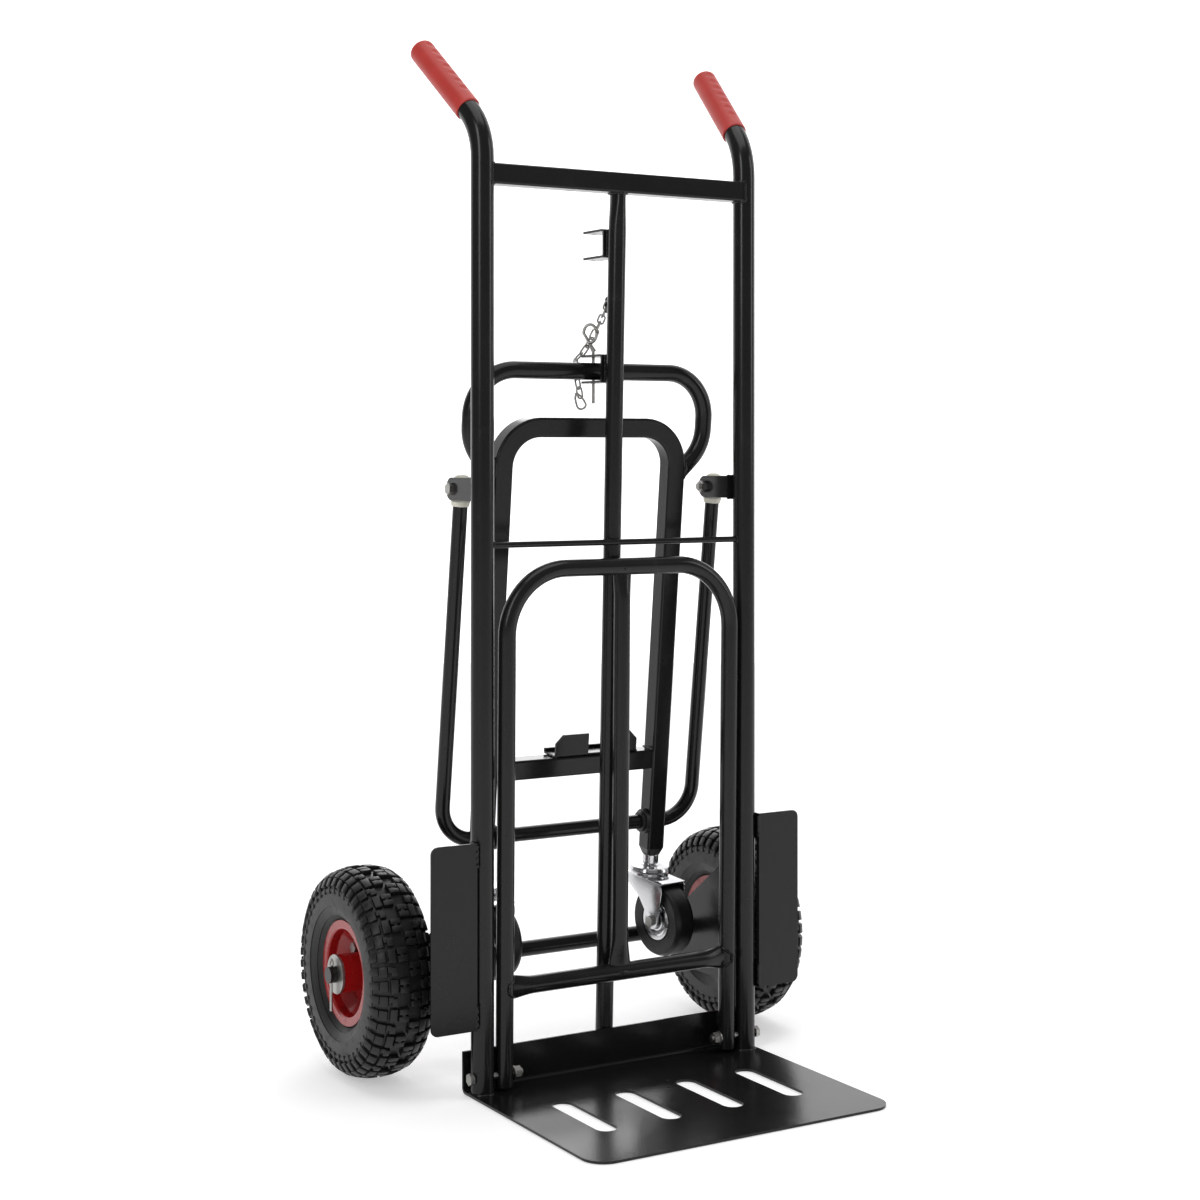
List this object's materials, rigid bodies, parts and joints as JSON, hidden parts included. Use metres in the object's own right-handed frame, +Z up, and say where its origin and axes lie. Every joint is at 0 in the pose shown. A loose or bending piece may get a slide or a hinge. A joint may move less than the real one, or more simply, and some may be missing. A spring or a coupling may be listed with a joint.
{
  "type": "hand truck",
  "caption": "Convertible hand truck: welded tube frame with a slotted toe plate, fold-down extension hoop, pneumatic wheels and a swing-out castor frame.",
  "frame": {"origin": "underside of the toe plate on the floor, midway between the two rails, level with the rails' centre lines", "axes": "+Z up along the rails, +X to the right when facing the toe plate, +Y from the toe plate towards the wheels"},
  "size_m": [0.644, 0.569, 1.2743],
  "materials": {
    "black_paint": "satin black powder coat over welded steel tube and sheet",
    "red_plastic": "soft red moulded grip",
    "red_paint": "gloss red enamel on pressed steel",
    "tyre_rubber": "black pneumatic tyre rubber",
    "tube_rubber": "butyl rubber inner tube with a rubber covered valve stem",
    "zinc": "bright zinc plated fasteners",
    "chrome": "polished chrome plating",
    "nylon": "natural cream nylon",
    "black_plastic": "black moulded plastic",
    "bearing_steel": "ground bearing steel",
    "castor_rubber": "black solid rubber"
  },
  "bodies": {
    "frame": {"left_rail": "black_paint", "right_rail": "black_paint", "left_grip": "red_plastic", "right_grip": "red_plastic", "top_crossbar": "black_paint", "centre_tube": "black_paint", "cross_rod": "black_paint", "toe_plate": "black_paint", "wheel_guard_left": "black_paint", "wheel_guard_right": "black_paint", "axle_gusset_left": "black_paint", "axle_gusset_right": "black_paint", "axle": "black_paint", "axle_collars": "zinc", "axle_split_pins": "zinc", "upper_clip": "black_paint", "lower_clip": "black_paint", "chain_tab": "black_paint", "stay_bracket_left": "black_paint", "stay_bracket_right": "black_paint", "stay_pivot_bolts": "zinc", "extension_pivot_bolts": "zinc", "lock_chain": "zinc"},
    "lock_pin": {"lock_pin": "zinc"},
    "extension": {"extension_hoop": "black_paint", "extension_cross_tube": "black_paint", "extension_centre_tube": "black_paint"},
    "stay": {"stay_hoop": "black_paint", "stay_bushes": "nylon"},
    "castor_frame": {"castor_arch": "black_paint", "loop_handle": "black_paint", "castor_cross_member": "black_paint", "saddle_bracket": "black_paint", "pivot_collars": "black_plastic", "leg_plugs": "black_plastic", "castor_stems": "chrome"},
    "castor_fork_left": {"castor_fork_left": "chrome", "castor_axle_left": "zinc"},
    "castor_wheel_left": {"castor_tyre_left": "castor_rubber", "castor_hub_left": "black_plastic", "castor_covers_left": "chrome"},
    "wheel_left": {"tyre_left": "tyre_rubber", "inner_tube_left": "tube_rubber", "rim_outer_left": "red_paint", "rim_inner_left": "red_paint", "hub_left": "red_paint", "bearings_left": "bearing_steel", "rim_bolts_left": "zinc"},
    "castor_fork_right": {"castor_fork_right": "chrome", "castor_axle_right": "zinc"},
    "castor_wheel_right": {"castor_tyre_right": "castor_rubber", "castor_hub_right": "black_plastic", "castor_covers_right": "chrome"},
    "wheel_right": {"tyre_right": "tyre_rubber", "inner_tube_right": "tube_rubber", "rim_outer_right": "red_paint", "rim_inner_right": "red_paint", "hub_right": "red_paint", "bearings_right": "bearing_steel", "rim_bolts_right": "zinc"}
  },
  "joints": [
    {"name": "stay_swing", "type": "hinge", "parent": "frame", "child": "stay", "pos_m": [0, 0.064, 0.722], "axis": [1, 0, 0], "range_deg": [0, 22.5]},
    {"name": "castor_frame_tilt", "type": "hinge", "parent": "stay", "child": "castor_frame", "pos_m": [0, 0.12029, 0.28259], "axis": [1, 0, 0], "range_deg": [-90, 0], "deforming": ["lock_pin", "lock_chain"]},
    {"name": "extension_fold", "type": "hinge", "parent": "frame", "child": "extension", "pos_m": [0, -0.002, 0.022], "axis": [1, 0, 0], "range_deg": [0, 90]},
    {"name": "lock_pin_pull", "type": "slide", "parent": "frame", "child": "lock_pin", "axis": [0, 0, 1], "range_m": [0, 0.07]},
    {"name": "wheel_spin_left", "type": "hinge", "parent": "frame", "child": "wheel_left", "pos_m": [-0.271, 0.152, 0.128], "axis": [1, 0, 0], "continuous": true},
    {"name": "wheel_spin_right", "type": "hinge", "parent": "frame", "child": "wheel_right", "pos_m": [0.271, 0.152, 0.128], "axis": [1, 0, 0], "continuous": true},
    {"name": "castor_swivel_left", "type": "hinge", "parent": "castor_frame", "child": "castor_fork_left", "pos_m": [-0.1265, 0.12644, 0.22291], "axis": [0, -0.1024, 0.9947], "range_deg": [-15, 15]},
    {"name": "castor_wheel_spin_left", "type": "hinge", "parent": "castor_fork_left", "child": "castor_wheel_left", "pos_m": [-0.12284, 0.09827, 0.15667], "axis": [0.9945, 0.104, 0.0107], "continuous": true},
    {"name": "castor_swivel_right", "type": "hinge", "parent": "castor_frame", "child": "castor_fork_right", "pos_m": [0.1265, 0.12644, 0.22291], "axis": [0, -0.1024, 0.9947], "range_deg": [-15, 15]},
    {"name": "castor_wheel_spin_right", "type": "hinge", "parent": "castor_fork_right", "child": "castor_wheel_right", "pos_m": [0.13016, 0.09827, 0.15667], "axis": [0.9945, 0.104, 0.0107], "continuous": true}
  ],
  "couplings": [
    {"joint": "stay_swing", "follows": "castor_frame_tilt", "ratio": -0.25}
  ]
}
